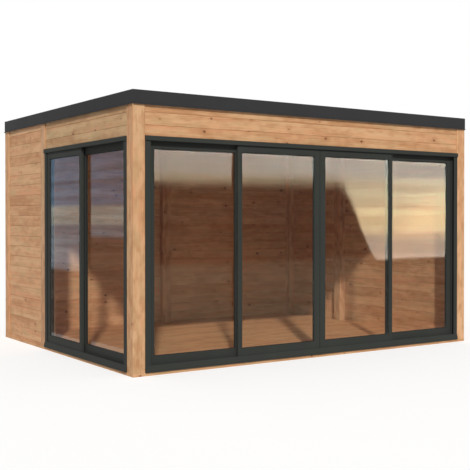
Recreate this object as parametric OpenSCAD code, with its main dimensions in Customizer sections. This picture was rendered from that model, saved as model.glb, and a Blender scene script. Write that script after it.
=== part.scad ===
// Flat-roofed timber garden shed with a four-leaf sliding door in front and a two-leaf one on its left side.
// Millimetres. +X runs along the front to the right, the front faces -Y, +Z is up.
// The origin lies on the ground under the middle of the plan.

/* [Plan and height] */
// Width of the building over its corner posts
body_w = 4170; // [3400:10:5200]
// Depth of the building over its corner posts
body_d = 3210; // [2700:10:4200]
// Height from the ground to the top of the roof edge
total_h = 2500; // [2420:10:2800]

/* [Posts and base] */
// Side of the square posts
post = 120; // [100:1:140]
// Radius of the softened post corners
post_round = 5; // [1:0.5:8]
// Height of the base beams
base_h = 29; // [24:1:60]
// Distance from the front face to the middle post of each side wall
mid_post_at = 2000; // [1700:10:2200]

/* [Floor] */
// Thickness of the floor boards
floor_t = 19; // [15:1:30]
// Width of a floor joist
floor_joist_w = 45; // [30:1:70]
// Number of floor joists
floor_joist_n = 7; // [4:1:10]

/* [Walls] */
// Thickness of the wall boards
board_t = 28; // [19:1:40]
// How far the boards lie behind the outer faces of the posts
board_recess = 10; // [6:1:20]
// Height of the boards that show between a door frame and the roof edge trim
header_h = 268; // [150:1:400]
// Height of the wall plates that carry the roof
plate_h = 120; // [90:5:160]

/* [Roof] */
// Thickness of the roof deck
deck_t = 18; // [12:1:28]
// Thickness of the roof covering
cover_t = 3; // [2:0.5:6]
// Height of the roof edge above the covering
upstand = 28; // [15:1:50]
// Height of a roof joist
roof_joist_h = 100; // [80:5:140]
// Width of a roof joist
roof_joist_w = 45; // [35:1:70]
// Number of roof joists
roof_joist_n = 6; // [4:1:10]
// Height of the roof edge trim, drip lip included
trim_h = 127; // [100:1:160]
// Thickness of the face of the trim
trim_t = 3; // [3:0.5:12]
// Thickness of the folded sheet at the flange and the lip
sheet_t = 3; // [2:0.5:4]
// Width of the flange that turns in over the roof
flange_w = 40; // [20:1:80]
// How far the drip lip stands out from the posts
lip_out = 16; // [15.5:0.5:30]
// Height of the drip lip
lip_h = 9; // [7:1:30]

/* [Sliding door frames] */
// Height of the face of the head track
head_face = 43; // [42:1:70]
// Height of the face of the sill track
sill_face = 61; // [48:1:80]
// Width of the face of a jamb
jamb_face = 54; // [48:1:80]
// Thickness of the back of a jamb, which lies on its post
jamb_back = 15; // [8:1:20]
// Thickness of the lips and webs between the tracks
lip_t = 3; // [2:0.5:5]
// How far the head and the sill stand out from the posts
nose = 15; // [8:0.5:15.5]
// Radius of the nose of the head
nose_round = 6; // [2:0.5:7]
// Height of the flat front of the sill below its slope
nose_h = 20; // [8:1:35]
// Thickness of the top of the head and of the bottom of the sill
track_t = 15; // [10:1:18]
// Height of the running rails above the bottom of their track
rail_h = 18; // [12:1:22]
// Width of a running rail
rail_w = 8; // [5:0.5:9]

/* [Sliding door leaves] */
// Thickness of a leaf
leaf_t = 28; // [26:1:34]
// Gap between a leaf and the lips of its track
leaf_clear = 5.5; // [5.5:0.5:8]
// Gap between a leaf and the rail it runs on
run_gap = 0.3; // [0.2:0.1:0.6]
// Depth of the running groove under a leaf
groove_h = 10; // [6:1:12]
// Gap on each side of a rail in the running groove
groove_clear = 5.5; // [5.5:0.5:7]
// How far a leaf reaches up into the head track
top_in = 18; // [10:1:22]
// How far a leaf reaches into the jamb beside it
jamb_in = 13; // [8:1:25]
// Gap between the two leaves that meet in the middle of the front
meet_gap = 6; // [5.5:0.5:12]
// Width of the stiles that meet in the middle of the front
lock_stile = 70; // [55:1:90]
// Width of the stiles at the jambs
jamb_stile = 76; // [58:1:90]
// Width of the stiles of outer leaves that pass an inner leaf
pass_stile = 50; // [40:1:65]
// Width of the stiles of inner leaves that pass an outer leaf
pass_stile_in = 44; // [40:1:60]
// How far an inner and an outer front leaf overlap
front_lap = 41; // [30:1:50]
// How far the two side leaves overlap
side_lap = 36; // [30:1:48]
// How much wider the front side pane is than the mean of the two
side_shift = 54; // [0:1:80]
// Height of the visible part of the top rail of a leaf
top_rail = 68; // [50:1:100]
// Height of the visible part of the bottom rail of a leaf
bottom_rail = 73; // [50:1:110]
// Thickness of the glazing
glass_t = 8; // [6:1:10]
// How far the glazing lies behind the outer face of its leaf
glass_set = 8; // [8:1:14]
// How far the glazing reaches into the leaf frame
glass_in = 14; // [8:1:20]
// Width of the rebate around the outside of the glazing
bead_w = 5; // [2:0.5:9]
// Depth of the rebate around the outside of the glazing
bead_d = 4; // [2:0.5:7]

/* [Hidden] */
$fn = 32;
eps = 0.01;
x_r = body_w / 2;
y_b = body_d / 2;
support_z = total_h - upstand - cover_t - deck_t;
board_in = board_recess + board_t;
plate_w = post - board_in;
trim_bot = total_h - trim_h;
door_top = trim_bot - header_h;
mid_y = -y_b + mid_post_at;
bay_back = (body_w - 3 * post) / 2;
bay_side_front = mid_post_at - post;
bay_side_rear = body_d - mid_post_at - 2 * post;
front_len = body_w - 2 * post;
side_len = bay_side_front;
channel = leaf_t + 2 * leaf_clear;
pitch = channel + lip_t;
frame_depth = 2 * channel + 2 * lip_t;
track_out = channel / 2;
track_in = channel / 2 + pitch;
sill_top = base_h + sill_face;
head_bot = door_top - head_face;
rail_top = base_h + track_t + rail_h;
leaf_bot = rail_top + run_gap - groove_h;
leaf_top = head_bot + top_in;
glass_bot = sill_top + bottom_rail;
glass_top = head_bot - top_rail;
leaf_x = jamb_face - jamb_in;
front_stiles = jamb_stile + pass_stile_in + pass_stile + lock_stile;
front_pane = (front_len / 2 - meet_gap / 2 - leaf_x - front_stiles + front_lap) / 2;
front_in_w = jamb_stile + front_pane + pass_stile_in;
front_out_w = pass_stile + front_pane + lock_stile;
front_leaf_2 = front_len / 2 - meet_gap / 2 - front_out_w;
front_leaf_3 = front_len / 2 + meet_gap / 2;
front_leaf_4 = front_len - leaf_x - front_in_w;
side_stiles = 2 * jamb_stile + pass_stile + pass_stile_in;
side_pane = (side_len - 2 * leaf_x - side_stiles + side_lap) / 2;
side_in_w = jamb_stile + side_pane + side_shift + pass_stile_in;
side_leaf_2 = side_len - leaf_x - side_in_w;
side_out_w = side_leaf_2 + side_lap - leaf_x;
wood = [0.80, 0.60, 0.42];
wood_dark = [0.70, 0.50, 0.34];
grey = [0.22, 0.24, 0.25];
grey_dark = [0.16, 0.17, 0.18];
clear = [0.70, 0.76, 0.76, 0.35];

// A box between two corners.
module block(low, high) {
    translate(low) cube(high - low);
}

// A square post with softened corners, from the base beam to the roof deck.
module square_post(x, y) {
    translate([x, y, base_h]) linear_extrude(support_z - base_h)
        translate([post_round, post_round]) offset(r = post_round) square(post - 2 * post_round);
}

// Slabs of wall boards for each side, from a lower edge to the roof deck.
module front_boards(x0, x1, z0) {
    block([x0, -y_b + board_recess, z0], [x1, -y_b + board_in, support_z]);
}

module back_boards(x0, x1) {
    block([x0, y_b - board_in, base_h], [x1, y_b - board_recess, support_z]);
}

module left_boards(y0, y1, z0) {
    block([-x_r + board_recess, y0, z0], [-x_r + board_in, y1, support_z]);
}

module right_boards(y0, y1) {
    block([x_r - board_in, y0, base_h], [x_r - board_recess, y1, support_z]);
}

// Puts a door built from x = 0 along its wall, with y inward, into the front wall.
module at_front() {
    translate([-x_r + post, -y_b, 0]) children();
}

// The same for the left wall, where the door starts at the middle post and runs to the front.
module at_side() {
    translate([-x_r, mid_y, 0]) rotate([0, 0, -90]) children();
}

// Extrudes a profile drawn as depth and height along a door's length.
module along(len) {
    rotate([90, 0, 90]) linear_extrude(len) children();
}

// Head track: a rounded nose in front of two downward channels.
module head_track(len) {
    lip_h_in = head_face - track_t;
    along(len) difference() {
        union() {
            translate([-lip_t, head_bot]) square([frame_depth + lip_t, head_face]);
            hull() {
                translate([-nose + nose_round, head_bot + nose_round]) circle(nose_round);
                translate([-nose + nose_round, door_top - nose_round]) circle(nose_round);
                translate([-lip_t, head_bot]) square([lip_t, head_face]);
            }
        }
        for (t = [0, pitch]) translate([t, head_bot - 1]) square([channel, lip_h_in + 1]);
    }
}

// Sill track: a sloped nose in front of two upward channels, each with a running rail.
module sill_track(len) {
    low = base_h + track_t;
    rail = rail_w / 2;
    along(len) polygon([[-nose, base_h], [-nose, base_h + nose_h], [-lip_t, sill_top], [0, sill_top],
        [0, low], [track_out - rail, low], [track_out - rail, rail_top],
        [track_out + rail, rail_top], [track_out + rail, low], [channel, low],
        [channel, sill_top], [pitch, sill_top],
        [pitch, low], [track_in - rail, low], [track_in - rail, rail_top],
        [track_in + rail, rail_top], [track_in + rail, low], [pitch + channel, low],
        [pitch + channel, sill_top], [frame_depth, sill_top], [frame_depth, base_h]]);
}

// Jamb that opens towards +x, standing between the sill and the head.
module jamb() {
    translate([0, 0, sill_top]) linear_extrude(head_bot - sill_top) {
        translate([0, -lip_t]) square([jamb_back, frame_depth + lip_t]);
        for (t = [-lip_t, channel, channel + pitch]) translate([0, t]) square([jamb_face, lip_t]);
    }
}

module jamb_pair(len) {
    jamb();
    translate([len, 0, 0]) mirror([1, 0, 0]) jamb();
}

// The glazing of a leaf that starts at x, with its left and right stile widths.
module leaf_glass(x, w, t, left, right) {
    outer = t - leaf_t / 2 + glass_set;
    block([x + left - glass_in, outer, glass_bot - glass_in],
        [x + w - right + glass_in, outer + glass_t, glass_top + glass_in]);
}

// The frame of a leaf around that glazing, with the running groove along its lower edge.
module leaf_frame(x, w, t, left, right) {
    face = t - leaf_t / 2;
    groove = rail_w / 2 + groove_clear;
    difference() {
        block([x, face, leaf_bot], [x + w, face + leaf_t, leaf_top]);
        block([x + left, face - 1, glass_bot], [x + w - right, face + leaf_t + 1, glass_top]);
        block([x + left - bead_w, face - 1, glass_bot - bead_w],
            [x + w - right + bead_w, face + bead_d, glass_top + bead_w]);
        block([x - 1, t - groove, leaf_bot - 1], [x + w + 1, t + groove, leaf_bot + groove_h]);
        leaf_glass(x, w, t, left, right);
    }
}

// Roof edge trim on the front of a plan of the given depth: face, drip lip and flange.
module trim(lip_len, depth, face_len, flange_len) {
    translate([0, -depth / 2, 0]) rotate([90, 0, -90]) {
        translate([0, 0, -face_len / 2]) linear_extrude(face_len)
            translate([0, trim_bot + lip_h - sheet_t]) square([trim_t, trim_h - lip_h + sheet_t]);
        translate([0, 0, -lip_len / 2]) linear_extrude(lip_len)
            polygon([[0, trim_bot + lip_h], [trim_t, trim_bot + lip_h], [lip_out, trim_bot + sheet_t],
                [lip_out, trim_bot], [lip_out - sheet_t, trim_bot], [0, trim_bot + lip_h - sheet_t]]);
        translate([0, 0, -flange_len / 2]) linear_extrude(flange_len)
            translate([-flange_w, total_h - sheet_t]) square([flange_w + eps, sheet_t]);
    }
}

module base_ends() {
    color(wood_dark) for (y = [-y_b, y_b - post]) block([-x_r, y, 0], [x_r, y + post, base_h]);
}

module base_sides() {
    color(wood_dark) for (x = [-x_r, x_r - post]) block([x, -y_b + post, 0], [x + post, y_b - post, base_h]);
}

module floor_joists() {
    room = body_w - 2 * post;
    step = room / (floor_joist_n + 1);
    color(wood_dark) for (i = [1 : floor_joist_n])
        block([-room / 2 + i * step - floor_joist_w / 2, -y_b + post, 0],
            [-room / 2 + i * step + floor_joist_w / 2, y_b - post, base_h]);
}

// The floor reaches the wall boards and the door frames and is notched around the posts.
module floor_deck() {
    color(wood) translate([0, 0, base_h]) linear_extrude(floor_t) difference() {
        translate([-x_r + board_in, -y_b + frame_depth])
            square([body_w - 2 * board_in, body_d - board_in - frame_depth]);
        translate([-x_r, -y_b]) square([frame_depth, mid_post_at]);
        for (x = [-x_r, x_r - post], y = [-y_b, mid_y, y_b - post]) translate([x, y]) square(post);
        translate([-post / 2, y_b - post]) square(post);
    }
}

module post_front_left() {
    color(wood) square_post(-x_r, -y_b);
}

module post_front_right() {
    color(wood) square_post(x_r - post, -y_b);
}

module post_back_left() {
    color(wood) square_post(-x_r, y_b - post);
}

module post_back_right() {
    color(wood) square_post(x_r - post, y_b - post);
}

module post_left_mid() {
    color(wood) square_post(-x_r, mid_y);
}

module post_right_mid() {
    color(wood) square_post(x_r - post, mid_y);
}

module post_back_mid() {
    color(wood) square_post(-post / 2, y_b - post);
}

module wall_left_rear() {
    color(wood) left_boards(mid_y + post, y_b - post, base_h);
}

module wall_right_front() {
    color(wood) right_boards(-y_b + post, mid_y);
}

module wall_right_rear() {
    color(wood) right_boards(mid_y + post, y_b - post);
}

module wall_back_left() {
    color(wood) back_boards(-x_r + post, -post / 2);
}

module wall_back_right() {
    color(wood) back_boards(post / 2, x_r - post);
}

module header_front() {
    color(wood) front_boards(-x_r + post, x_r - post, door_top);
}

module header_left() {
    color(wood) left_boards(-y_b + post, mid_y, door_top);
}

// One plate per bay, between the posts and behind the boards.
module wall_plates() {
    z0 = support_z - plate_h;
    color(wood_dark) {
        block([-x_r + post, -y_b + board_in, z0], [x_r - post, -y_b + post, support_z]);
        for (x = [-x_r + post, post / 2])
            block([x, y_b - post, z0], [x + bay_back, y_b - board_in, support_z]);
        for (x = [-x_r + board_in, x_r - post]) {
            block([x, -y_b + post, z0], [x + plate_w, mid_y, support_z]);
            block([x, mid_y + post, z0], [x + plate_w, y_b - post, support_z]);
        }
    }
}

module roof_joists() {
    room = body_w - 2 * post;
    step = room / (roof_joist_n + 1);
    color(wood_dark) for (i = [1 : roof_joist_n])
        block([-room / 2 + i * step - roof_joist_w / 2, -y_b + post, support_z - roof_joist_h],
            [-room / 2 + i * step + roof_joist_w / 2, y_b - post, support_z]);
}

module roof_deck() {
    color(wood_dark) block([-x_r, -y_b, support_z], [x_r, y_b, support_z + deck_t]);
}

module roof_cover() {
    color(grey_dark) block([-x_r, -y_b, support_z + deck_t], [x_r, y_b, support_z + deck_t + cover_t]);
}

module trim_front() {
    color(grey) trim(body_w, body_d, body_w + 2 * trim_t, body_w);
}

module trim_back() {
    color(grey) rotate([0, 0, 180]) trim(body_w, body_d, body_w + 2 * trim_t, body_w);
}

module trim_left() {
    color(grey) rotate([0, 0, -90]) trim(body_d, body_w, body_d, body_d - 2 * flange_w);
}

module trim_right() {
    color(grey) rotate([0, 0, 90]) trim(body_d, body_w, body_d, body_d - 2 * flange_w);
}

module front_head() {
    color(grey) at_front() head_track(front_len);
}

module front_sill() {
    color(grey) at_front() sill_track(front_len);
}

module front_jambs() {
    color(grey) at_front() jamb_pair(front_len);
}

module side_head() {
    color(grey) at_side() head_track(side_len);
}

module side_sill() {
    color(grey) at_side() sill_track(side_len);
}

module side_jambs() {
    color(grey) at_side() jamb_pair(side_len);
}

module front_leaf_1() {
    color(grey) at_front() leaf_frame(leaf_x, front_in_w, track_in, jamb_stile, pass_stile_in);
}

module front_glass_1() {
    color(clear) at_front() leaf_glass(leaf_x, front_in_w, track_in, jamb_stile, pass_stile_in);
}

module front_leaf_2() {
    color(grey) at_front() leaf_frame(front_leaf_2, front_out_w, track_out, pass_stile, lock_stile);
}

module front_glass_2() {
    color(clear) at_front() leaf_glass(front_leaf_2, front_out_w, track_out, pass_stile, lock_stile);
}

module front_leaf_3() {
    color(grey) at_front() leaf_frame(front_leaf_3, front_out_w, track_out, lock_stile, pass_stile);
}

module front_glass_3() {
    color(clear) at_front() leaf_glass(front_leaf_3, front_out_w, track_out, lock_stile, pass_stile);
}

module front_leaf_4() {
    color(grey) at_front() leaf_frame(front_leaf_4, front_in_w, track_in, pass_stile_in, jamb_stile);
}

module front_glass_4() {
    color(clear) at_front() leaf_glass(front_leaf_4, front_in_w, track_in, pass_stile_in, jamb_stile);
}

module side_leaf_1() {
    color(grey) at_side() leaf_frame(leaf_x, side_out_w, track_out, jamb_stile, pass_stile);
}

module side_glass_1() {
    color(clear) at_side() leaf_glass(leaf_x, side_out_w, track_out, jamb_stile, pass_stile);
}

module side_leaf_2() {
    color(grey) at_side() leaf_frame(side_leaf_2, side_in_w, track_in, pass_stile_in, jamb_stile);
}

module side_glass_2() {
    color(clear) at_side() leaf_glass(side_leaf_2, side_in_w, track_in, pass_stile_in, jamb_stile);
}

base_ends();
base_sides();
floor_joists();
floor_deck();
post_front_left();
post_front_right();
post_back_left();
post_back_right();
post_left_mid();
post_right_mid();
post_back_mid();
wall_left_rear();
wall_right_front();
wall_right_rear();
wall_back_left();
wall_back_right();
header_front();
header_left();
wall_plates();
roof_joists();
roof_deck();
roof_cover();
trim_front();
trim_back();
trim_left();
trim_right();
front_head();
front_sill();
front_jambs();
side_head();
side_sill();
side_jambs();
front_leaf_1();
front_glass_1();
front_leaf_2();
front_glass_2();
front_leaf_3();
front_glass_3();
front_leaf_4();
front_glass_4();
side_leaf_1();
side_glass_1();
side_leaf_2();
side_glass_2();
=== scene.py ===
"""Looks of a flat-roofed timber garden shed with sliding doors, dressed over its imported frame."""

import logging
import math
import random
from dataclasses import dataclass, field, replace
from enum import Enum, IntEnum
from typing import Optional, Sequence, Union

import bmesh
import bpy
from mathutils import Color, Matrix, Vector


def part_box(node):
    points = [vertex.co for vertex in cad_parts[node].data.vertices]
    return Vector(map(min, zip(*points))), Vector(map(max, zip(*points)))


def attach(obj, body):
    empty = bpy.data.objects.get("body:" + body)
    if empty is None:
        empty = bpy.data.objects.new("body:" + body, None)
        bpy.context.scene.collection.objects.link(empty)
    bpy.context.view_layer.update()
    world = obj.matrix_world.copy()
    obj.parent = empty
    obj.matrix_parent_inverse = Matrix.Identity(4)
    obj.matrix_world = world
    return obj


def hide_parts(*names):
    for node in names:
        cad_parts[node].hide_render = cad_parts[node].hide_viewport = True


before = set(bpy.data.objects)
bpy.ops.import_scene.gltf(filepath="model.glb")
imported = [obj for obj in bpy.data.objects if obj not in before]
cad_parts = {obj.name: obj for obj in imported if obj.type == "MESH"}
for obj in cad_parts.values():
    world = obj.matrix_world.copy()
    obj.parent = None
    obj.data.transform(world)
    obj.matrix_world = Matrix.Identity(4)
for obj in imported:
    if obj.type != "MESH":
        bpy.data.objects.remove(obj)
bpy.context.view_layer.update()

LOG = logging.getLogger("garden_shed")

Pair = tuple[float, float]
Triple = tuple[float, float, float]
Colour = Triple
Socket = bpy.types.NodeSocket
Feed = Union[Socket, float, Sequence[float]]

MIDDLE: Pair = (0.3, 0.7)  # where most values of a noise lie
NEARLY = 1e-6  # lengths in metres that differ by less are the same


class Axis(IntEnum):
    """An axis of the shared frame."""

    X = 0
    Y = 1
    Z = 2


class Grain(Enum):
    """Axes along, across and through the fibres. BOARD reads the piece's grain attribute."""

    X = (Axis.X, Axis.Y, Axis.Z)
    Y = (Axis.Y, Axis.X, Axis.Z)
    Z = (Axis.Z, Axis.X, Axis.Y)
    BOARD = ()


def paint(red: int, green: int, blue: int) -> Colour:
    """Gives the linear colour of an 8-bit paint-card colour.

    Args:
        red: Red, 0 to 255.
        green: Green, 0 to 255.
        blue: Blue, 0 to 255.

    Returns:
        The colour that a shader socket takes.
    """
    card = Color((red / 255, green / 255, blue / 255))
    return tuple(card.from_srgb_to_scene_linear())


def long_axis(low: Vector, high: Vector) -> Axis:
    """Tells which way an upright slab runs.

    Args:
        low: Its lowest corner.
        high: Its highest corner.

    Returns:
        X or Y.
    """
    return Axis.X if high.x - low.x > high.y - low.y else Axis.Y


def place_object(name: str, data: bpy.types.ID) -> bpy.types.Object:
    """Puts a new object into the scene.

    Args:
        name: Its name.
        data: Its mesh, camera or lamp.

    Returns:
        The object.
    """
    thing = bpy.data.objects.new(name, data)
    bpy.context.scene.collection.objects.link(thing)
    return thing


class Graph:
    """A node tree with short calls for the nodes that the finishes use."""

    MIX_INPUTS = (0, 6, 7)  # factor and the two colours of a Mix node
    MIX_RESULT = 2

    def __init__(self, tree: bpy.types.NodeTree) -> None:
        """Takes the node tree of a material or a world and empties it."""
        self.tree = tree
        tree.nodes.clear()

    @classmethod
    def of_material(cls, name: str) -> tuple["Graph", bpy.types.Material]:
        """Makes a material with an empty node tree.

        Args:
            name: The material's name.

        Returns:
            The tree and the material.
        """
        material = bpy.data.materials.new(name)
        material.use_nodes = True
        return cls(material.node_tree), material

    def add(self, kind: str, **settings: object) -> bpy.types.Node:
        """Adds a node.

        Args:
            kind: The node's type name, without "ShaderNode".
            **settings: Properties of the node.

        Returns:
            The node.
        """
        node = self.tree.nodes.new("ShaderNode" + kind)
        for key, value in settings.items():
            setattr(node, key, value)
        return node

    def feed(self, socket: Socket, value: Feed) -> None:
        """Links a socket into an input, or writes a plain value there.

        Args:
            socket: The input.
            value: An output socket, a number or a vector.
        """
        if isinstance(value, bpy.types.NodeSocket):
            self.tree.links.new(value, socket)
        elif socket.type == "RGBA":
            socket.default_value = (*value, 1.0)
        else:
            socket.default_value = value

    def feed_all(self, node: bpy.types.Node, values: Sequence[Feed]) -> bpy.types.Node:
        """Feeds the first inputs of a node in their order.

        Args:
            node: The node.
            values: What goes in.

        Returns:
            The node.
        """
        for socket, value in zip(node.inputs, values):
            self.feed(socket, value)
        return node

    def math(self, operation: str, *values: Feed, clamp: bool = False) -> Socket:
        """Adds a Math node and gives its result, which clamp holds between 0 and 1."""
        node = self.add("Math", operation=operation, use_clamp=clamp)
        return self.feed_all(node, values).outputs[0]

    def total(self, *values: Feed, clamp: bool = False) -> Socket:
        """Adds numbers up.

        Args:
            *values: Two numbers or more.
            clamp: Whether the result is held between 0 and 1.

        Returns:
            Their sum.
        """
        result, *rest, last = values
        for value in rest:
            result = self.math("ADD", result, value)
        return self.math("ADD", result, last, clamp=clamp)

    def times(self, value: Feed, factor: Feed) -> Socket:
        """Multiplies two numbers."""
        return self.math("MULTIPLY", value, factor)

    def vector(self, operation: str, *values: Feed) -> Socket:
        """Adds a Vector Math node and gives its result, which is a number for LENGTH."""
        node = self.feed_all(self.add("VectorMath", operation=operation), values)
        return node.outputs["Value" if operation == "LENGTH" else "Vector"]

    def split(self, place: Socket) -> tuple[Socket, ...]:
        """Gives the three parts of a vector."""
        return tuple(self.feed_all(self.add("SeparateXYZ"), (place,)).outputs)

    def join(self, *parts: Feed) -> Socket:
        """Makes a vector of three numbers."""
        return self.feed_all(self.add("CombineXYZ"), parts).outputs[0]

    def span(self, value: Feed, low: Feed, high: Feed, *ends: float) -> Socket:
        """Maps the range from low to high smoothly to the one between the ends, or to 0 to 1."""
        node = self.add("MapRange", interpolation_type="SMOOTHSTEP")
        return self.feed_all(node, (value, low, high, *(ends or (0.0, 1.0)))).outputs[0]

    def blend(self, share: Feed, first: Feed, second: Feed) -> Socket:
        """Mixes two colours.

        Args:
            share: Share of the second colour.
            first: The first colour.
            second: The second colour.

        Returns:
            The mixed colour.
        """
        node = self.add("Mix", data_type="RGBA")
        for index, value in zip(self.MIX_INPUTS, (share, first, second)):
            self.feed(node.inputs[index], value)
        return node.outputs[self.MIX_RESULT]

    def relief(self, height: Socket, strength: float, depth: float) -> Socket:
        """Turns a height into a shading normal.

        Args:
            height: The height, 0 to 1.
            strength: How much of it counts.
            depth: What a height of 1 is, in metres.

        Returns:
            The normal.
        """
        node = self.add("Bump")
        for key, value in (("Strength", strength), ("Distance", depth), ("Height", height)):
            self.feed(node.inputs[key], value)
        return node.outputs["Normal"]

    def principled(self, **values: Feed) -> Socket:
        """Adds the main shader.

        Args:
            **values: Its inputs, with underscores for blanks.

        Returns:
            The shader.
        """
        shader = self.add("BsdfPrincipled")
        for key, value in values.items():
            self.feed(shader.inputs[key.replace("_", " ")], value)
        return shader.outputs[0]

    def either(self, share: Socket, first: Socket, second: Socket) -> Socket:
        """Mixes two shaders by the share of the second."""
        return self.feed_all(self.add("MixShader"), (share, first, second)).outputs[0]

    def finish(self, shader: Socket, kind: str = "OutputMaterial") -> None:
        """Links a shader to the tree's output, which is of a kind that add knows."""
        self.feed(self.add(kind).inputs["Surface"], shader)

    def own_place(self) -> Socket:
        """Gives the place on the object in metres."""
        return self.add("TexCoord").outputs["Object"]


@dataclass(frozen=True)
class Pattern:
    """A noise and the range that it is turned into.

    Attributes:
        cells: Its cells in a metre along X, Y and Z, or along, across and through the fibres.
        layers: How many finer layers it has.
        reads: Range of the noise that counts.
        gives: What the ends of that range become.
        rough: How strong the finer layers are.
    """

    cells: Triple
    layers: float
    reads: Pair = (0.0, 1.0)
    gives: Pair = (0.0, 1.0)
    rough: float = 0.55

    def noise(self, graph: Graph, place: Socket) -> Socket:
        """Adds the noise.

        Args:
            graph: The material's nodes.
            place: Where it is read, in metres.

        Returns:
            A number from 0 to 1.
        """
        node = graph.add("TexNoise")
        graph.feed(node.inputs["Vector"], graph.vector("MULTIPLY", place, self.cells))
        graph.feed(node.inputs["Scale"], 1.0)
        graph.feed(node.inputs["Detail"], self.layers)
        graph.feed(node.inputs["Roughness"], self.rough)
        return node.outputs["Fac"]

    def turned(self, graph: Graph, noise: Socket) -> Socket:
        """Turns the noise into its range."""
        return graph.span(noise, *self.reads, *self.gives)

    def read(self, graph: Graph, place: Socket) -> Socket:
        """Adds the noise at a place in metres and turns it into its range."""
        return self.turned(graph, self.noise(graph, place))


@dataclass(frozen=True)
class Knots:
    """Round knots scattered in a timber.

    Attributes:
        colour: Colour of a knot.
        size: How much larger the largest one's radius is than the smallest one's, in metres.
        share: Share of the places for a knot that have one.
        least: Radius of the smallest one, in metres.
        places: Places for a knot in a metre along and across the fibres.
        scatter: How far a knot may lie from the middle of its place.
        length: How many times as long as wide it is.
        ragged: How far its rim wanders, in metres.
        rim: How often the rim wanders.
        core: Share of its radius that is all knot.
        reach: How far round it the fibres swerve, in its radii.
    """

    colour: Colour = paint(112, 70, 44)
    size: float = 0.017
    share: float = 0.5
    least: float = 0.003
    places: Pair = (2.1, 9.5)
    scatter: float = 0.9
    length: float = 1.35
    ragged: float = 0.005
    rim: Pattern = Pattern((60.0, 60.0, 60.0), 1.0)
    core: float = 0.55
    reach: float = 3.2

    def read(self, graph: Graph, place: Socket) -> tuple[Socket, Socket]:
        """Scatters the knots along the timber.

        Args:
            graph: The material's nodes.
            place: The place in the timber.

        Returns:
            How much of a knot the place is, and how near one it is.
        """
        along, across = self.places
        scaled = graph.vector("MULTIPLY", place, (along, across, 0.0))
        cells = graph.add("TexVoronoi", voronoi_dimensions="2D", feature="F1")
        for key, value in (("Vector", scaled), ("Scale", 1.0), ("Randomness", self.scatter)):
            graph.feed(cells.inputs[key], value)
        away = graph.vector("SUBTRACT", scaled, cells.outputs["Position"])
        away = graph.vector("MULTIPLY", away, (1 / along / self.length, 1 / across, 0.0))
        ragged = graph.times(self.rim.noise(graph, place), self.ragged)
        radius = graph.total(graph.vector("LENGTH", away), ragged)
        chance = graph.feed_all(graph.add("SeparateColor"), (cells.outputs["Color"],)).outputs[0]
        lot = graph.math("SUBTRACT", chance, 1.0 - self.share)
        size = graph.total(graph.times(lot, self.size / self.share), self.least)
        core = graph.span(radius, size, graph.times(size, self.core))
        near = graph.span(radius, graph.times(size, self.reach), size)
        shown = graph.math("GREATER_THAN", lot, 0.0)
        return graph.times(core, shown), graph.times(near, shown)


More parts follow.
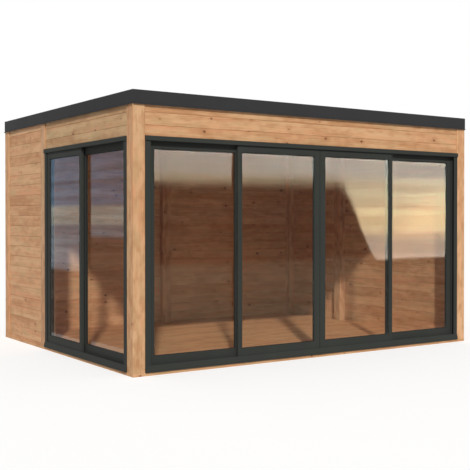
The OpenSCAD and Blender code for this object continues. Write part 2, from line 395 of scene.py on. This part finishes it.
@dataclass(frozen=True)
class PineFinish:
    """Planed pine with growth lines, fibres, knots and a tone that changes from board to board.

    Attributes:
        name: Name of the material.
        grain: Which way the fibres run.
        pale: Colour of the soft wood between the growth lines.
        deep: Colour of the growth lines and of darker boards.
        rosy: Colour of the redder heartwood.
        olive: Colour of the greyer patches.
        knots: Its knots.
        mottle: How strong its blotches are.
        shift: How far the figure is moved along the fibres, in metres.
        depth_share: How fast it changes through the timber, as a share of across.
        rings: Growth lines in a metre across the fibres.
        late_wood: Where the wave of a growth line starts to darken, and where it is darkest.
        ring_shade: Share of the deep colour in a growth line.
        knot_shade: The same round a knot.
        waver: By how many lines they sway.
        swerve: By how many lines they go round a knot.
        sway: How they sway.
        fibre: Light and dark of the fibres.
        shades: Streaks and clouds of the deep colour.
        blotch: Blotches of the deep colour.
        heart: Share of the rosy colour.
        patch: Share of the olive colour.
        knot_edge: Where a knot's colour starts and is full, and its share there.
        lifts: How high fibres and growth lines stand, and how deep a knot lies.
        gloss: Roughness of smooth and of coarse fibres, after the range of fibres that it goes by.
        shine: Strength of its gleam.
        emboss: Strength of the relief, and its depth in metres.
    """

    name: str
    grain: Grain
    pale: Colour = paint(212, 167, 124)
    deep: Colour = paint(180, 128, 86)
    rosy: Colour = paint(208, 147, 106)
    olive: Colour = paint(191, 154, 111)
    knots: Knots = Knots()
    mottle: float = 1.0
    shift: float = 0.0
    depth_share: float = 0.5
    rings: float = 62.0
    late_wood: Pair = (-0.6, 1.0)
    ring_shade: float = 0.28
    knot_shade: float = 0.3
    waver: float = 7.0
    swerve: float = 1.4
    sway: Pattern = Pattern((1.1, 9.0, 9.0), 2.0)
    fibre: Pattern = Pattern((7.0, 420.0, 420.0), 2.0, (0.25, 0.75), (0.93, 1.05))
    shades: tuple[Pattern, ...] = (
        Pattern((1.3, 34.0, 34.0), 3.0, (0.4, 0.75), (0.0, 0.45)),
        Pattern((1.6, 7.0, 7.0), 2.0, MIDDLE, (-0.25, 0.35)),
    )
    blotch: Pattern = Pattern((8.0, 17.0, 17.0), 3.0, (0.35, 0.7), (-0.18, 0.3))
    heart: Pattern = Pattern((0.8, 11.0, 11.0), 3.0, (0.42, 0.68), (0.0, 0.8))
    patch: Pattern = Pattern((3.1, 13.0, 13.0), 3.0, (0.46, 0.66), (0.0, 0.75))
    knot_edge: tuple[float, ...] = (0.1, 0.9, 0.0, 0.85)
    lifts: Triple = (0.6, 0.4, -0.35)
    gloss: tuple[float, ...] = (0.2, 0.8, 0.52, 0.7)
    shine: float = 0.3
    emboss: Pair = (0.35, 0.0006)

    def toned(self, name: str, pale: Colour, deep: Colour) -> "PineFinish":
        """Gives the same pine under another name, in another pale and deep colour."""
        return replace(self, name=name, pale=pale, deep=deep)

    def place(self, graph: Graph) -> Socket:
        """Gives the place in the timber, whose figure runs on round its corners.

        Args:
            graph: The material's nodes.

        Returns:
            The place along the fibres, across them and through, in metres.
        """
        if self.grain is Grain.BOARD:
            return graph.add("Attribute", attribute_name="grain").outputs["Vector"]
        parts = graph.split(graph.own_place())
        run, side, through = (parts[axis] for axis in self.grain.value)
        across = graph.math("SUBTRACT", side, through)
        depth = graph.times(through, self.depth_share)
        return graph.join(graph.total(run, self.shift), across, depth)

    def growth(self, graph: Graph, place: Socket, near: Socket) -> Socket:
        """Draws the growth lines.

        Args:
            graph: The material's nodes.
            place: The place in the timber.
            near: How near a knot it is.

        Returns:
            How much of a growth line the place is.
        """
        lines = graph.times(graph.split(place)[1], self.rings)
        bend = graph.times(self.sway.noise(graph, place), self.waver)
        lines = graph.total(lines, bend, graph.times(near, self.swerve))
        wave = graph.math("SINE", graph.times(lines, 2 * math.pi))
        return graph.span(wave, *self.late_wood)

    def tint(self, graph: Graph, place: Socket, rings: Socket, near: Socket) -> Socket:
        """Colours the clear wood.

        Args:
            graph: The material's nodes.
            place: The place in the timber.
            rings: How much of a growth line it is.
            near: How near a knot it is.

        Returns:
            The colour.
        """
        shares = [graph.times(rings, self.ring_shade)]
        shares += [shade.read(graph, place) for shade in self.shades]
        shares.append(graph.times(self.blotch.read(graph, place), self.mottle))
        if self.grain is Grain.BOARD:
            shares.append(graph.add("Attribute", attribute_name="tone").outputs["Fac"])
        share = graph.total(*shares, graph.times(near, self.knot_shade), clamp=True)
        colour = graph.blend(self.heart.read(graph, place), self.pale, self.rosy)
        colour = graph.blend(self.patch.read(graph, place), colour, self.olive)
        return graph.blend(share, colour, self.deep)

    def material(self) -> bpy.types.Material:
        """Builds the material.

        Returns:
            The material.
        """
        graph, material = Graph.of_material(self.name)
        place = self.place(graph)
        core, near = self.knots.read(graph, place)
        rings = self.growth(graph, place, near)
        fibre = self.fibre.noise(graph, place)
        light = self.fibre.turned(graph, fibre)
        wood = self.tint(graph, place, rings, near)
        wood = graph.vector("MULTIPLY", wood, graph.join(light, light, light))
        reliefs = zip((fibre, rings, core), self.lifts)
        height = graph.total(*[graph.times(part, lift) for part, lift in reliefs])
        graph.finish(graph.principled(
            Base_Color=graph.blend(graph.span(core, *self.knot_edge), wood, self.knots.colour),
            Roughness=graph.span(fibre, *self.gloss),
            Specular_IOR_Level=self.shine,
            Normal=graph.relief(height, *self.emboss),
        ))
        return material


@dataclass(frozen=True)
class PowderCoat:
    """Finely textured powder coat on aluminium, with clouds and specks of dust.

    Attributes:
        name: Name of the material.
        colour: Colour of the coat.
        dust: Colour where it is dusty or rubbed.
        cloud: Share of dust in the clouds.
        speck: Share of dust in the specks.
        peel: Texture of the coat.
        gloss: Roughness where it is clean and where it is dusty.
        shine: Strength of its gleam.
        emboss: Strength of the texture's relief, and its depth in metres.
    """

    name: str
    colour: Colour = paint(57, 59, 56)
    dust: Colour = paint(65, 67, 63)
    cloud: Pattern = Pattern((2.2, 2.2, 1.1), 4.0, (0.4, 0.8), (0.0, 0.4))
    speck: Pattern = Pattern((160.0, 160.0, 160.0), 1.0, (0.62, 0.8), (0.0, 0.35))
    peel: Pattern = Pattern((900.0, 900.0, 900.0), 2.0)
    gloss: Pair = (0.4, 0.55)
    shine: float = 0.02
    emboss: Pair = (0.2, 0.0002)

    def material(self) -> bpy.types.Material:
        """Builds the material.

        Returns:
            The material.
        """
        graph, material = Graph.of_material(self.name)
        place = graph.own_place()
        cloud = self.cloud.noise(graph, place)
        share = graph.total(self.cloud.turned(graph, cloud), self.speck.read(graph, place))
        graph.finish(graph.principled(
            Base_Color=graph.blend(share, self.colour, self.dust),
            Roughness=graph.span(cloud, *MIDDLE, *self.gloss),
            Specular_IOR_Level=self.shine,
            Normal=graph.relief(self.peel.noise(graph, place), *self.emboss),
        ))
        return material


@dataclass(frozen=True)
class RubberFinish:
    """Dull rubber, as a seal strip or as the sheet on the roof.

    Attributes:
        name: Name of the material.
        colour: Colour of the rubber.
        bloom: Paler colour of its bloom.
        scale: How many clouds of bloom there are in a metre.
        fine: Fine unevenness of the bloom.
        gloss: Roughness where it is clean and where it has bloom.
        shine: Strength of its gleam.
        emboss: Strength of its relief, and its depth in metres.
    """

    name: str
    colour: Colour
    bloom: Colour
    scale: float
    fine: Pattern = Pattern((350.0, 350.0, 350.0), 2.0, MIDDLE, (-0.2, 0.2))
    gloss: Pair = (0.7, 0.85)
    shine: float = 0.25
    emboss: Pair = (0.25, 0.0004)

    def material(self) -> bpy.types.Material:
        """Builds the material.

        Returns:
            The material.
        """
        graph, material = Graph.of_material(self.name)
        place = graph.own_place()
        clouds = Pattern((self.scale, self.scale, self.scale), 5.0, (0.35, 0.75), rough=0.62)
        cloud, fine = clouds.noise(graph, place), self.fine.noise(graph, place)
        share = graph.total(clouds.turned(graph, cloud), self.fine.turned(graph, fine), clamp=True)
        graph.finish(graph.principled(
            Base_Color=graph.blend(share, self.colour, self.bloom),
            Roughness=graph.span(cloud, *MIDDLE, *self.gloss),
            Specular_IOR_Level=self.shine,
            Normal=graph.relief(fine, *self.emboss),
        ))
        return material


@dataclass(frozen=True)
class ClearGlass:
    """Clear pane that lets lamp light through to the room.

    Attributes:
        name: Name of the material.
        tint: What a pane leaves of the light that passes it.
        film: The same where it has a slight film.
        smear: Share of that film.
        bend: Refractive index, low because the panes are coated against glare.
    """

    name: str
    tint: Colour = (0.92, 0.925, 0.92)
    film: Colour = (0.89, 0.895, 0.89)
    smear: Pattern = Pattern((3.0, 3.0, 1.2), 4.0, (0.4, 0.8))
    bend: float = 1.2

    def material(self) -> bpy.types.Material:
        """Builds the material.

        Returns:
            The material.
        """
        graph, material = Graph.of_material(self.name)
        smear = self.smear.read(graph, graph.own_place())
        pane = graph.principled(
            Base_Color=graph.blend(smear, self.tint, self.film),
            Roughness=0.0,
            IOR=self.bend,
            Transmission_Weight=1.0,
        )
        clear = graph.add("BsdfTransparent")
        graph.feed(clear.inputs[0], tuple(math.sqrt(part) for part in self.tint))
        path = graph.add("LightPath").outputs
        lighting = graph.total(path["Is Shadow Ray"], path["Is Diffuse Ray"], clamp=True)
        graph.finish(graph.either(lighting, pane, clear.outputs[0]))
        return material


def dress(material: bpy.types.Material, *nodes: str) -> None:
    """Gives carried-over CAD nodes a finish.

    Args:
        material: The finish.
        *nodes: Names of the nodes.
    """
    for name in nodes:
        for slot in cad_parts[name].material_slots:
            slot.material = material
        LOG.info("dressed %s with %s", name, material.name)


@dataclass
class PieceMaker:
    """Turns a finished mesh into a named piece that rides on a body.

    Attributes:
        body: Body that the piece moves with.
        slot: Material slot of the record; not used.
    """

    body: str
    slot: str

    def make(
        self, name: str, mesh: bmesh.types.BMesh, material: bpy.types.Material, *nodes: str
    ) -> None:
        """Makes the piece.

        Args:
            name: Name of the piece.
            mesh: Its mesh, which is freed.
            material: Its finish.
            *nodes: CAD nodes that it stands for.
        """
        bmesh.ops.recalc_face_normals(mesh, faces=mesh.faces[:])
        data = bpy.data.meshes.new(name)
        mesh.to_mesh(data)
        mesh.free()
        data.materials.append(material)
        piece = place_object(name, data)
        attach(piece, self.body)
        if nodes:
            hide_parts(*nodes)
        LOG.info("built %s with %d faces", name, len(data.polygons))


@dataclass
class BoardStack:
    """Planed boards side by side in one mesh, each with its own run of grain and its own tone.

    Attributes:
        seed: Seed of the chances in it.
        chamfer: Width of the bevel along each long edge.
        gap: Width of the slot that shows the tongue between two boards.
        sink: How far the tongue lies behind the faces.
        sink_share: Largest share of the thickness that this may be.
        play: How far a board's faces may stand in or out.
        tone_spread: How far one board's tone may be from the next.
        trunk: Length, width and depth of the wood that boards are cut from.
        mesh: The mesh that grows.
    """

    seed: int
    chamfer: float = 0.002
    gap: float = 0.0018
    sink: float = 0.006
    sink_share: float = 0.4
    play: float = 0.0004
    tone_spread: float = 0.28
    trunk: Triple = (60.0, 60.0, 9.0)
    mesh: bmesh.types.BMesh = field(default_factory=bmesh.new)

    def __post_init__(self) -> None:
        """Prepares the chances and the grain and tone of each corner."""
        self.chance = random.Random(self.seed)
        self.grain = self.mesh.verts.layers.float_vector.new("grain")
        self.tone = self.mesh.verts.layers.float.new("tone")

    def add(self, low: Sequence[float], high: Sequence[float], run: Axis, width: Axis) -> None:
        """Adds one board.

        Args:
            low: Its lowest corner.
            high: Its highest corner.
            run: Axis that it runs along.
            width: Axis of its width.
        """
        through = sum(Axis) - run - width
        cut, sink = self.chamfer, min(self.sink, (high[through] - low[through]) * self.sink_share)
        front = low[through] + self.chance.uniform(0, self.play)
        back = high[through] - self.chance.uniform(0, self.play)
        left, right, tongue = low[width], high[width] - self.gap, high[width]
        section = [
            (left, front + cut), (left + cut, front), (right - cut, front),
            (right, front + cut), (right, front + sink), (tongue, front + sink),
            (tongue, back - sink), (right, back - sink), (right, back - cut),
            (right - cut, back), (left + cut, back), (left, back - cut),
        ]
        start = Vector([self.chance.uniform(0, size) for size in self.trunk])
        tone = self.chance.uniform(-self.tone_spread, self.tone_spread)
        first, last = [], []
        for end, ring in ((low[run], first), (high[run], last)):
            for across, deep in section:
                point = [0.0, 0.0, 0.0]
                point[run], point[width], point[through] = end, across, deep
                corner = self.mesh.verts.new(point)
                corner[self.grain] = start + Vector((end - low[run], across - left, deep - front))
                corner[self.tone] = tone
                ring.append(corner)
        for index in range(len(section)):
            after = (index + 1) % len(section)
            self.mesh.faces.new((first[index], first[after], last[after], last[index]))
        self.mesh.faces.new(first)
        self.mesh.faces.new(list(reversed(last)))


@dataclass
class BoardedWall:
    """One bay of horizontal wall boards between two posts.

    Attributes:
        node: CAD slab that it stands for.
        name: Name of the piece.
        seed: Seed of its boards.
        spread: How far one board's tone may be from the next.
        first: Height of the lowest joint.
        pitch: Height that one board covers.
        least: Height of the narrowest strip that is a board of its own.
    """

    node: str
    name: str
    seed: int
    spread: float
    first: float = 0.054
    pitch: float = 0.113
    least: float = 0.01

    def build(self, material: bpy.types.Material) -> None:
        """Builds the boards of the bay.

        Args:
            material: Finish of the boards.
        """
        low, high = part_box(self.node)
        run = long_axis(low, high)
        stack = BoardStack(self.seed, tone_spread=self.spread)
        step = math.floor((low.z - self.first) / self.pitch + NEARLY)
        bottom = low.z
        while bottom < high.z - NEARLY:
            step += 1
            top = min(self.first + step * self.pitch, high.z)
            if top - bottom > self.least:
                stack.add((low.x, low.y, bottom), (high.x, high.y, top), run, Axis.Z)
                bottom = top
        PieceMaker("shed", "timber").make(self.name, stack.mesh, material, self.node)


@dataclass
class BoardedFloor:
    """Floor boards that run along the front, cut round the posts and the side door's sill.

    Attributes:
        node: CAD slab that it stands for.
        seed: Seed of its boards.
        spread: How far one board's tone may be from the next.
        target: Wanted width of a board.
    """

    node: str = "floor_deck"
    seed: int = 41
    spread: float = 0.2
    target: float = 0.112

    def zones(self) -> list[tuple[float, float, list[float]]]:
        """Divides the floor where posts, walls or the side door's sill change its ends.

        Returns:
            Front and back of each zone, and where its boards start and end from left to right.
        """
        low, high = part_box(self.node)
        near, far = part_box("post_front_left")[1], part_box("post_back_right")[0]
        middle_front, middle_back = (corner.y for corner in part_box("post_left_mid"))
        middle_left, middle_right = (corner.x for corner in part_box("post_back_mid"))
        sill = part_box("side_sill")[1].x
        return [
            (low.y, near.y, [near.x, far.x]),
            (near.y, middle_front, [sill, high.x]),
            (middle_front, middle_back, [near.x, far.x]),
            (middle_back, far.y, [low.x, high.x]),
            (far.y, high.y, [near.x, middle_left, middle_right, far.x]),
        ]

    def build(self, material: bpy.types.Material) -> None:
        """Builds the floor boards.

        Args:
            material: Finish of the boards.
        """
        low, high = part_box(self.node)
        stack = BoardStack(self.seed, tone_spread=self.spread)
        for front, back, ends in self.zones():
            count = max(1, round((back - front) / self.target))
            width = (back - front) / count
            for index in range(count):
                start, end = front + width * index, front + width * (index + 1)
                for left, right in zip(ends[::2], ends[1::2]):
                    stack.add((left, start, low.z), (right, end, high.z), Axis.X, Axis.Y)
        PieceMaker("shed", "floor").make("floor_boards", stack.mesh, material, self.node)


@dataclass
class BoardedCeiling:
    """Roof boards that show from inside between the joists.

    Attributes:
        node: CAD slab that it stands for.
        seed: Seed of its boards.
        target: Wanted width of a board.
    """

    node: str = "roof_deck"
    seed: int = 57
    target: float = 0.121

    def build(self, material: bpy.types.Material) -> None:
        """Builds the roof boards.

        Args:
            material: Finish of the boards.
        """
        low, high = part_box(self.node)
        count = round((high.y - low.y) / self.target)
        width = (high.y - low.y) / count
        stack = BoardStack(self.seed)
        for index in range(count):
            start = low.y + width * index
            stack.add((low.x, start, low.z), (high.x, start + width, high.z), Axis.X, Axis.Y)
        PieceMaker("shed", "rough_timber").make("roof_boards", stack.mesh, material, self.node)


@dataclass
class GlazingSeal:
    """Rubber strips on both sides of a pane, where it meets the sash.

    Attributes:
        pane: CAD node of the pane.
        name: Name of the piece.
        body: Door leaf that it rides on.
        cover: How far the pane runs into the sash.
        width: Width of a strip on the pane.
        height: How far a strip stands off the pane.
        profile: Section of a strip, in shares of its width and height.
    """

    pane: str
    name: str
    body: str
    cover: float = 0.014
    width: float = 0.003
    height: float = 0.0025
    profile: tuple[Pair, ...] = (
        (0.0, 0.0), (0.0, 1.0), (0.35, 0.95), (0.75, 0.6), (1.0, 0.1), (1.0, 0.0),
    )

    def build(self, material: bpy.types.Material) -> None:
        """Builds both strips in one mesh.

        Args:
            material: Finish of the rubber.
        """
        low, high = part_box(self.pane)
        run = long_axis(low, high)
        deep = Axis.Y if run is Axis.X else Axis.X
        mesh = bmesh.new()
        for face, away in ((low[deep], -1), (high[deep], 1)):
            rings = []
            for in_run, in_up in ((1, 1), (-1, 1), (-1, -1), (1, -1)):
                along = (low if in_run > 0 else high)[run]
                up = (low if in_up > 0 else high).z
                ring = []
                for over, off in self.profile:
                    inward = self.cover + over * self.width
                    point = [0.0, 0.0, up + in_up * inward]
                    point[run] = along + in_run * inward
                    point[deep] = face + away * off * self.height
                    ring.append(mesh.verts.new(point))
                rings.append(ring)
            for here, there in zip(rings, rings[1:] + rings[:1]):
                for step in range(len(here)):
                    after = (step + 1) % len(here)
                    mesh.faces.new((here[step], here[after], there[after], there[step]))
        PieceMaker(self.body, "roof_cover").make(self.name, mesh, material)


@dataclass
class Timber:
    """The posts, beams, boards and joists.

    Attributes:
        walls: Boarded bays of the walls.
        headers: Boarded bays over the front door and the side door.
        boards: Finish of the boards on walls and over the front door.
        dull_boards: Finish of the greyer boards over the side door.
        floor: Finish of the floor boards.
        ceiling: Finish of the roof boards.
        posts: Finish of the posts, which some posts have in another tone.
        long_beams: Finish of the beams along the front and the back.
        cross_beams: Finish of the beams and joists from front to back.
    """

    walls: tuple[BoardedWall, ...] = (
        BoardedWall("wall_left_rear", "boards_left_rear", 11, 0.32),
        BoardedWall("wall_right_front", "boards_right_front", 12, 0.22),
        BoardedWall("wall_right_rear", "boards_right_rear", 13, 0.15),
        BoardedWall("wall_back_left", "boards_back_left", 14, 0.32),
        BoardedWall("wall_back_right", "boards_back_right", 15, 0.15),
    )
    headers: tuple[BoardedWall, BoardedWall] = (
        BoardedWall("header_front", "boards_over_front_door", 16, 0.22),
        BoardedWall("header_left", "boards_over_side_door", 17, 0.32),
    )
    boards: PineFinish = PineFinish(
        "wall_board_pine", Grain.BOARD, knots=Knots(paint(106, 64, 41), 0.019),
    )
    dull_boards: PineFinish = replace(
        boards.toned("dull_board_pine", paint(201, 166, 124), paint(170, 127, 86)),
        rosy=paint(197, 146, 106), olive=paint(181, 153, 111),
    )
    floor: PineFinish = PineFinish(
        "floor_board_pine", Grain.BOARD, paint(206, 153, 106), paint(172, 114, 71),
    )
    ceiling: PineFinish = PineFinish("roof_board_pine", Grain.BOARD)
    posts: PineFinish = PineFinish(
        "post_pine", Grain.Z, paint(211, 168, 126), paint(182, 133, 92),
        knots=Knots(share=0.45), mottle=1.9, shift=0.37,
    )
    long_beams: PineFinish = PineFinish("long_beam_pine", Grain.X, knots=Knots(share=0.4))
    cross_beams: PineFinish = PineFinish("cross_beam_pine", Grain.Y, knots=Knots(share=0.4))

    def build_boards(self) -> None:
        """Builds the boards of walls, headers, floor and roof."""
        boards = self.boards.material()
        over_front, over_side = self.headers
        for bay in (*self.walls, over_front):
            bay.build(boards)
        over_side.build(self.dull_boards.material())
        BoardedFloor().build(self.floor.material())
        BoardedCeiling().build(self.ceiling.material())

    def dress_posts(self) -> None:
        """Dresses the posts, each in its own tone."""
        pale = self.posts.toned("pale_post_pine", paint(222, 175, 132), paint(194, 142, 100))
        dull = self.posts.toned("dull_post_pine", paint(197, 157, 119), paint(168, 123, 86))
        inner = self.posts.toned("inner_post_pine", paint(196, 149, 110), paint(168, 116, 79))
        dress(self.posts.material(), "post_front_left", "post_back_left", "post_back_right")
        dress(pale.material(), "post_front_right")
        dress(dull.material(), "post_left_mid")
        dress(inner.material(), "post_right_mid", "post_back_mid")

    def build(self) -> None:
        """Builds the boards and dresses the posts and beams."""
        self.build_boards()
        self.dress_posts()
        dress(self.cross_beams.material(), "base_sides", "roof_joists", "floor_joists")
        dress(self.long_beams.material(), "base_ends", "wall_plates")


@dataclass
class RoofEdge:
    """The roof sheet and the folded trim round it.

    Attributes:
        trim: Finish of the trim.
        sheet: Finish of the sheet.
    """

    trim: PowderCoat = PowderCoat("roof_trim_coat", paint(57, 57, 58), paint(64, 64, 65))
    sheet: RubberFinish = RubberFinish(
        "roof_sheet_rubber", paint(58, 59, 60), paint(82, 82, 81), 1.7,
    )

    def build(self) -> None:
        """Dresses the trim and the sheet."""
        dress(self.trim.material(), "trim_front", "trim_back", "trim_left", "trim_right")
        dress(self.sheet.material(), "roof_cover")


@dataclass
class SlidingDoors:
    """Both sliding doors with their frames, leaves, panes and seals.

    Attributes:
        front_leaves: How many leaves the front door has.
        side_leaves: How many leaves the side door has.
        coat: Finish of frames and leaves.
        glass: Finish of the panes.
        seal: Finish of the seals.
    """

    front_leaves: int = 4
    side_leaves: int = 2
    coat: PowderCoat = PowderCoat("door_frame_coat")
    glass: ClearGlass = ClearGlass("door_glass")
    seal: RubberFinish = RubberFinish(
        "glazing_seal_rubber", paint(26, 27, 28), paint(40, 41, 42), 24.0,
    )

    def build(self) -> None:
        """Dresses the frames, leaves and panes, and builds the seals."""
        coat, glass = self.coat.material(), self.glass.material()
        seal = self.seal.material()
        for side, count in (("front", self.front_leaves), ("side", self.side_leaves)):
            dress(coat, f"{side}_head", f"{side}_sill", f"{side}_jambs")
            for number in range(1, count + 1):
                pane = f"{side}_glass_{number}"
                dress(coat, f"{side}_leaf_{number}")
                dress(glass, pane)
                GlazingSeal(pane, f"{side}_seal_{number}", f"{side}_door_{number}").build(seal)


@dataclass(frozen=True)
class ReflectionPanel:
    """A wide glowing panel that lights nothing and shows only as a painted reflection in the panes.

    Attributes:
        name: Name of the panel.
        run: Which way it runs, X or Y.
        ends: Where it starts and ends that way.
        off: Where it stands the other way.
        bend: Where the lower edge of its bright part starts and stops to change height.
        edges: Heights of that edge there.
        fades: How softly it starts over that edge there, in metres.
        tones: Heights with the brightness and colour of the painted bright reflection there, from
            the lowest up.
        dark: Brightness and colour of the painted darker reflection under the edge.
        haze: The same near the floor where the bend starts, if it differs.
        haze_span: Heights where that haze starts to fade, and where it ends.
        heights: Heights of the panel's own foot and top.
        streak: Streaks in its brightness.
        passes: Number of glass faces behind which it no longer shows, between one pane's and two.
    """

    name: str
    run: Axis
    ends: Pair
    off: float
    bend: Pair
    edges: Pair
    fades: Pair
    tones: tuple[tuple[float, Colour], ...]
    dark: Colour
    haze: Optional[Colour] = None
    haze_span: Pair = (0.86, 0.96)
    heights: Pair = (0.02, 2.6)
    streak: Pattern = Pattern((0.55, 0.55, 13.0), 4.0, (0.32, 0.68), (0.72, 1.28))
    passes: float = 2.5

    def glow(self, graph: Graph, place: Socket) -> Socket:
        """Colours the panel's painted reflection.

        Args:
            graph: The material's nodes.
            place: The place on the panel.

        Returns:
            The colour.
        """
        parts = graph.split(place)
        across, height = parts[self.run], parts[Axis.Z]
        above = graph.math("SUBTRACT", height, graph.span(across, *self.bend, *self.edges))
        above = graph.math("DIVIDE", above, graph.span(across, *self.bend, *self.fades))
        low: Feed = self.dark
        if self.haze:
            low = graph.blend(graph.span(height, *self.haze_span), self.haze, self.dark)
            low = graph.blend(graph.span(across, *self.bend), low, self.dark)
        high: Feed = self.tones[0][1]
        for (start, _), (end, tone) in zip(self.tones, self.tones[1:]):
            high = graph.blend(graph.span(height, start, end), high, tone)
        return graph.blend(graph.span(above, 0.0, 1.0), low, high)

    def material(self) -> bpy.types.Material:
        """Builds a glow that only sharp reflections see.

        Returns:
            The material.
        """
        graph, material = Graph.of_material(self.name)
        place = graph.own_place()
        glow = graph.feed_all(
            graph.add("Emission"), (self.glow(graph, place), self.streak.read(graph, place)),
        )
        clear = graph.add("BsdfTransparent")
        path = graph.add("LightPath").outputs
        outside = graph.math("LESS_THAN", path["Transmission Depth"], self.passes)
        gleam = graph.times(path["Is Singular Ray"], outside)
        # Only sharp reflection rays see this glow, so it paints a reflection in the panes and
        # lights nothing.
        graph.finish(graph.either(gleam, clear.outputs[0], glow.outputs[0]))
        material.cycles.emission_sampling = "NONE"
        return material

    def build(self) -> None:
        """Hangs the panel."""
        corners = []
        for end, up in ((0, 0), (1, 0), (1, 1), (0, 1)):
            point = [self.off, self.off, self.heights[up]]
            point[self.run] = self.ends[end]
            corners.append(point)
        data = bpy.data.meshes.new(self.name)
        data.from_pydata(corners, [], [(0, 1, 2, 3)])
        data.materials.append(self.material())
        panel = place_object(self.name, data)
        for ray in ("camera", "diffuse", "volume_scatter", "shadow"):
            setattr(panel, "visible_" + ray, False)


@dataclass
class Studio:
    """The floor, the light and the camera.

    Attributes:
        eye: Place of the camera.
        turn: Turn of the camera from +Y towards +X, in degrees.
        dip: How far it looks down, in degrees.
        film: Width of its film, in millimetres.
        lens: Focal length, in millimetres.
        rise: Vertical shift of the film.
        sight: How far it sees.
        floor_size: Radius of the floor.
        floor_sides: How many sides its round has.
        floor_tones: Darkest and palest grey of the floor.
        floor_shade: Where it is which.
        floor_glow: How much it is lifted towards the white of the background.
        fill: Strength of the light from all round.
        key: Strength of the key light.
        key_colour: Colour of the key light.
        key_turn: Where the key light goes, from +Y towards +X, in degrees.
        key_height: How steeply it falls, in degrees.
        key_softness: How wide it looks, in degrees.
        panels: Glowing panels that light nothing and show only as painted reflections in the panes.
    """

    eye: Triple = (-5.6674, -8.5278, 1.3868)
    turn: float = 33.863
    dip: float = 0.606
    film: float = 36.0
    lens: float = 68.568
    rise: float = -0.01664
    sight: float = 400.0
    floor_size: float = 150.0
    floor_sides: int = 96
    floor_tones: Pair = (0.63, 0.65)
    floor_shade: Pattern = Pattern((1.0, 1.0, 1.0), 2.0)
    floor_glow: float = 0.47
    fill: float = 0.4
    key: float = 2.55
    key_colour: Colour = (1.0, 0.985, 0.96)
    key_turn: float = 30.0
    key_height: float = 32.0
    key_softness: float = 3.0
    # Painted reflections in the panes: a bright glow above a bent lower edge and a darker glow
    # below it.
    panels: tuple[ReflectionPanel, ...] = (
        ReflectionPanel(
            "front_reflection_panel", Axis.X, ends=(-2.0, 3.6), off=-2.6,
            bend=(1.1, 1.75), edges=(1.68, 0.86), fades=(0.28, 0.06),
            tones=(
                (1.05, (13.2, 11.4, 9.4)), (1.35, (41.0, 31.5, 17.6)),
                (1.75, (28.0, 24.0, 15.6)), (1.95, (20.0, 19.3, 16.6)),
            ),
            dark=(0.6, 0.6, 0.55), haze=(1.75, 1.8, 1.35),
        ),
        ReflectionPanel(
            "side_reflection_panel", Axis.Y, ends=(-1.5, 2.6), off=-2.6,
            bend=(0.64, 0.7), edges=(1.15, 0.76), fades=(0.06, 0.06),
            tones=(
                (1.28, (0.85, 1.0, 1.15)), (1.34, (1.6, 1.65, 1.45)),
                (1.49, (1.6, 1.65, 1.45)), (1.55, (0.52, 0.8, 1.13)),
            ),
            dark=(0.34, 0.23, 0.19),
        ),
    )

    def camera(self) -> None:
        """Sets the camera up as the photograph was taken."""
        data = bpy.data.cameras.new("view")
        data.sensor_width = self.film
        data.lens = self.lens
        data.shift_y = self.rise
        data.clip_end = self.sight
        camera = place_object("view", data)
        camera.location = self.eye
        camera.rotation_euler = (math.radians(90.0 - self.dip), 0.0, -math.radians(self.turn))
        bpy.context.scene.camera = camera

    @staticmethod
    def seen(graph: Graph) -> Socket:
        """Tells the rays that show the background from those that light the shed.

        Args:
            graph: Nodes of the floor or the world.

        Returns:
            1 for a ray from the camera, a gloss or a pane.
        """
        path = graph.add("LightPath").outputs
        rays = ("Is Camera Ray", "Is Glossy Ray", "Is Transmission Ray")
        return graph.total(*[path[ray] for ray in rays], clamp=True)

    def floor(self) -> None:
        """Lays a pale round floor."""
        graph, material = Graph.of_material("studio_floor")
        shade = self.floor_shade.noise(graph, graph.own_place())
        dark, pale = ((grey, grey, grey) for grey in self.floor_tones)
        graph.finish(graph.principled(
            Base_Color=graph.blend(shade, dark, pale),
            Roughness=0.9,
            Specular_IOR_Level=0.0,
            Emission_Color=(1.0, 1.0, 1.0),
            Emission_Strength=graph.times(self.seen(graph), self.floor_glow),
        ))
        mesh = bmesh.new()
        bmesh.ops.create_circle(
            mesh, cap_ends=True, segments=self.floor_sides, radius=self.floor_size,
        )
        data = bpy.data.meshes.new("studio_floor")
        mesh.to_mesh(data)
        mesh.free()
        data.materials.append(material)
        floor = place_object("studio_floor", data)

    def light(self) -> None:
        """Sets the soft light from all round and the key light from the front left."""
        world = bpy.data.worlds.new("studio")
        world.use_nodes = True
        graph = Graph(world.node_tree)
        strength = graph.span(self.seen(graph), 0.0, 1.0, self.fill, 1.0)
        background = graph.feed_all(graph.add("Background"), ((1.0, 1.0, 1.0), strength))
        graph.finish(background.outputs[0], "OutputWorld")
        bpy.context.scene.world = world
        lamp = bpy.data.lights.new("key", "SUN")
        lamp.energy = self.key
        lamp.angle = math.radians(self.key_softness)
        lamp.color = self.key_colour
        turn, fall = math.radians(self.key_turn), math.radians(self.key_height)
        level = math.cos(fall)
        way = Vector((math.sin(turn) * level, math.cos(turn) * level, -math.sin(fall)))
        place_object("key", lamp).rotation_euler = way.to_track_quat("-Z", "Y").to_euler()

    def build(self) -> None:
        """Sets up the whole studio."""
        self.camera()
        self.floor()
        self.light()
        for panel in self.panels:
            panel.build()
        bpy.context.scene.view_settings.view_transform = "Standard"


def main() -> None:
    """Builds the studio and the shed in order."""
    logging.basicConfig(level=logging.INFO, format="%(name)s: %(message)s")
    for part in (Studio(), Timber(), RoofEdge(), SlidingDoors()):
        part.build()
        LOG.info("finished %s", type(part).__name__)


if __name__ == "__main__":
    main()
